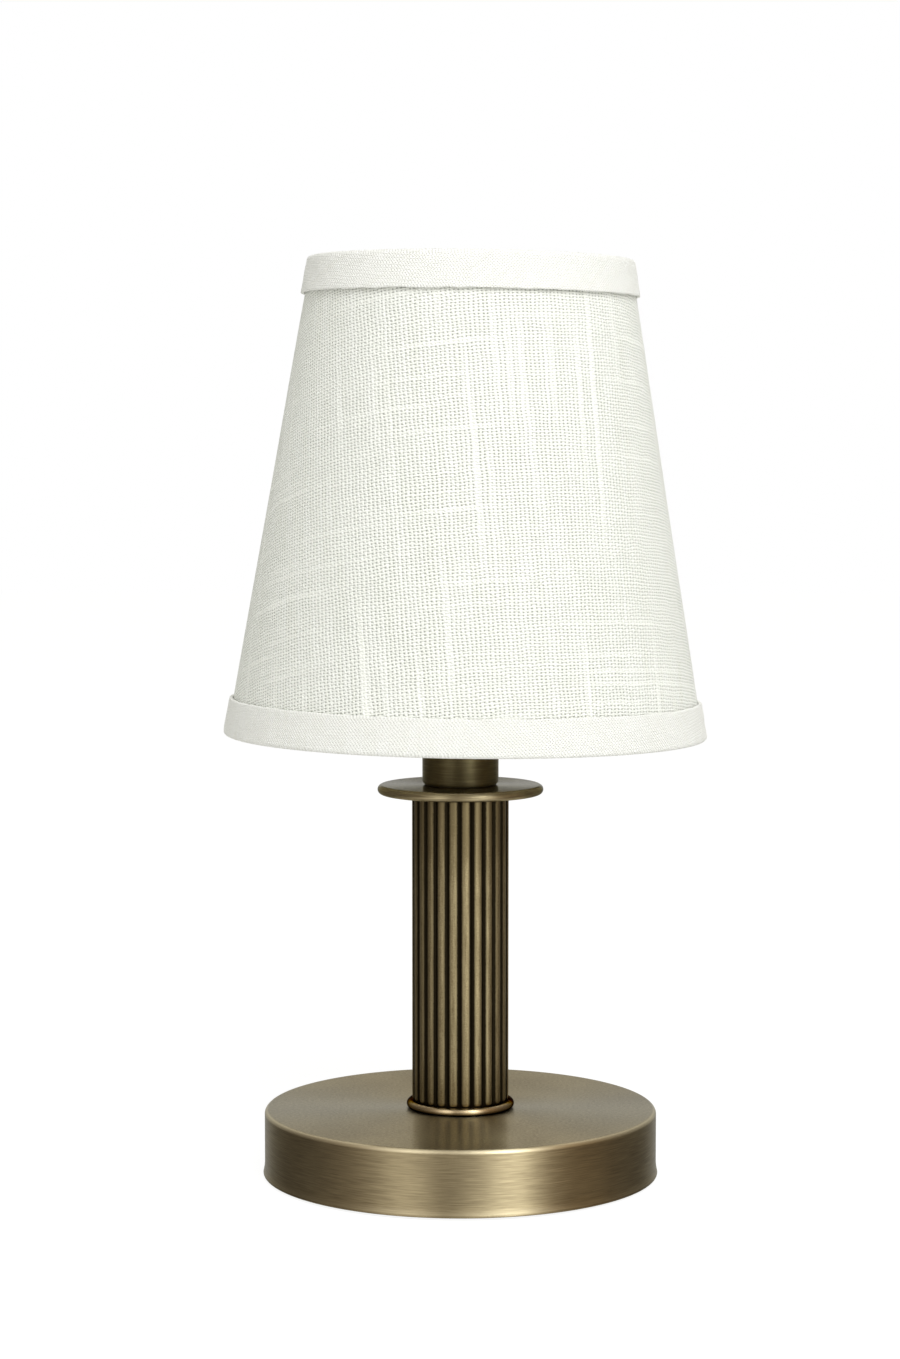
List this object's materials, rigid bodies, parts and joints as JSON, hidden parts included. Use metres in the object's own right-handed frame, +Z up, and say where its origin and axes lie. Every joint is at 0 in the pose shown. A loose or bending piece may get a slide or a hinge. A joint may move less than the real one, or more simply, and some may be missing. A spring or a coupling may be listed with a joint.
{
  "type": "accent lamp",
  "caption": "Small table accent lamp: weighted round base, reeded brass column with a thin collar, screw-base bulb and a tapered linen clip-on shade.",
  "frame": {"origin": "middle of the felt's underside, on the lamp's axis, on the surface that the lamp stands on", "axes": "+Z up along the column, -Y to the front, +Y to the back where the cord's outlet is, +X to the right"},
  "size_m": [0.1586, 0.1586, 0.3019],
  "materials": {
    "antique_brass": "brushed antique brass, lacquered satin",
    "dark_brass": "dark brushed antique brass, lacquered satin",
    "bright_brass": "bright rolled brass",
    "cast_iron": "rough cast, black lacquer",
    "felt": "dark green pressed felt",
    "nylon": "black moulded nylon",
    "zinc_steel": "zinc plated steel",
    "fibre": "pressed fibre",
    "phenolic": "black moulded phenolic",
    "nickel": "bright nickel-coloured thin sheet",
    "black_glass": "black fused glass insulator",
    "solder": "dull solder",
    "clear_glass": "clear lamp glass",
    "tungsten": "drawn tungsten wire",
    "spring_wire": "brass plated spring wire",
    "linen": "off-white slubbed plain-weave linen",
    "bias_tape": "off-white linen tape cut on the bias",
    "styrene": "translucent white laminated styrene sheet"
  },
  "bodies": {
    "stand": {"felt_pad": "felt", "base_weight": "cast_iron", "base_shell": "antique_brass", "cord_bushing": "nylon", "threaded_rod": "zinc_steel", "base_washer": "zinc_steel", "base_lock_washer": "zinc_steel", "base_nut": "zinc_steel", "socket_lock_nut": "zinc_steel", "foot_ring": "antique_brass", "reeded_column": "antique_brass", "lower_centring_bushing": "fibre", "upper_centring_bushing": "fibre", "collar_disk": "antique_brass", "socket_cup": "dark_brass", "socket_bracket": "zinc_steel", "socket_body": "phenolic", "socket_screw_shell": "bright_brass", "socket_centre_contact": "bright_brass", "bracket_rivet": "zinc_steel", "terminal_screw_back": "bright_brass", "terminal_screw_front": "nickel"},
    "bulb_tip": {"bulb_tip_contact": "solder"},
    "bulb": {"bulb_insulator": "black_glass", "bulb_screw_cap": "nickel", "bulb_glass": "clear_glass", "bulb_stem": "clear_glass", "filament_lead_left": "tungsten", "filament_lead_right": "tungsten", "filament": "tungsten"},
    "clip": {"clip_collet": "spring_wire"},
    "shade": {"shade_linen": "linen", "shade_liner": "styrene", "shade_hem_top": "bias_tape", "shade_hem_bottom": "bias_tape", "shade_ring_top": "spring_wire", "shade_ring_bottom": "spring_wire", "bulb_clip_left": "spring_wire", "bulb_clip_right": "spring_wire", "spider_arm_1": "spring_wire", "spider_arm_2": "spring_wire", "spider_arm_3": "spring_wire"}
  },
  "joints": [
    {"name": "bulb_rise", "type": "slide", "parent": "stand", "child": "bulb_tip", "axis": [0, 0, 1], "range_m": [0, 0.0102]},
    {"name": "bulb_turn", "type": "hinge", "parent": "bulb_tip", "child": "bulb", "pos_m": [0, 0, 0.158], "axis": [0, 0, 1], "range_deg": [0, 1440]},
    {"name": "shade_lift", "type": "slide", "parent": "bulb", "child": "clip", "axis": [0, 0, 1], "range_m": [0, 0.12]},
    {"name": "shade_turn", "type": "hinge", "parent": "clip", "child": "shade", "pos_m": [0, 0, 0.251], "axis": [0, 0, 1], "continuous": true}
  ],
  "couplings": [
    {"joint": "bulb_rise", "follows": "bulb_turn", "m_per_rad": 0.00040425}
  ]
}
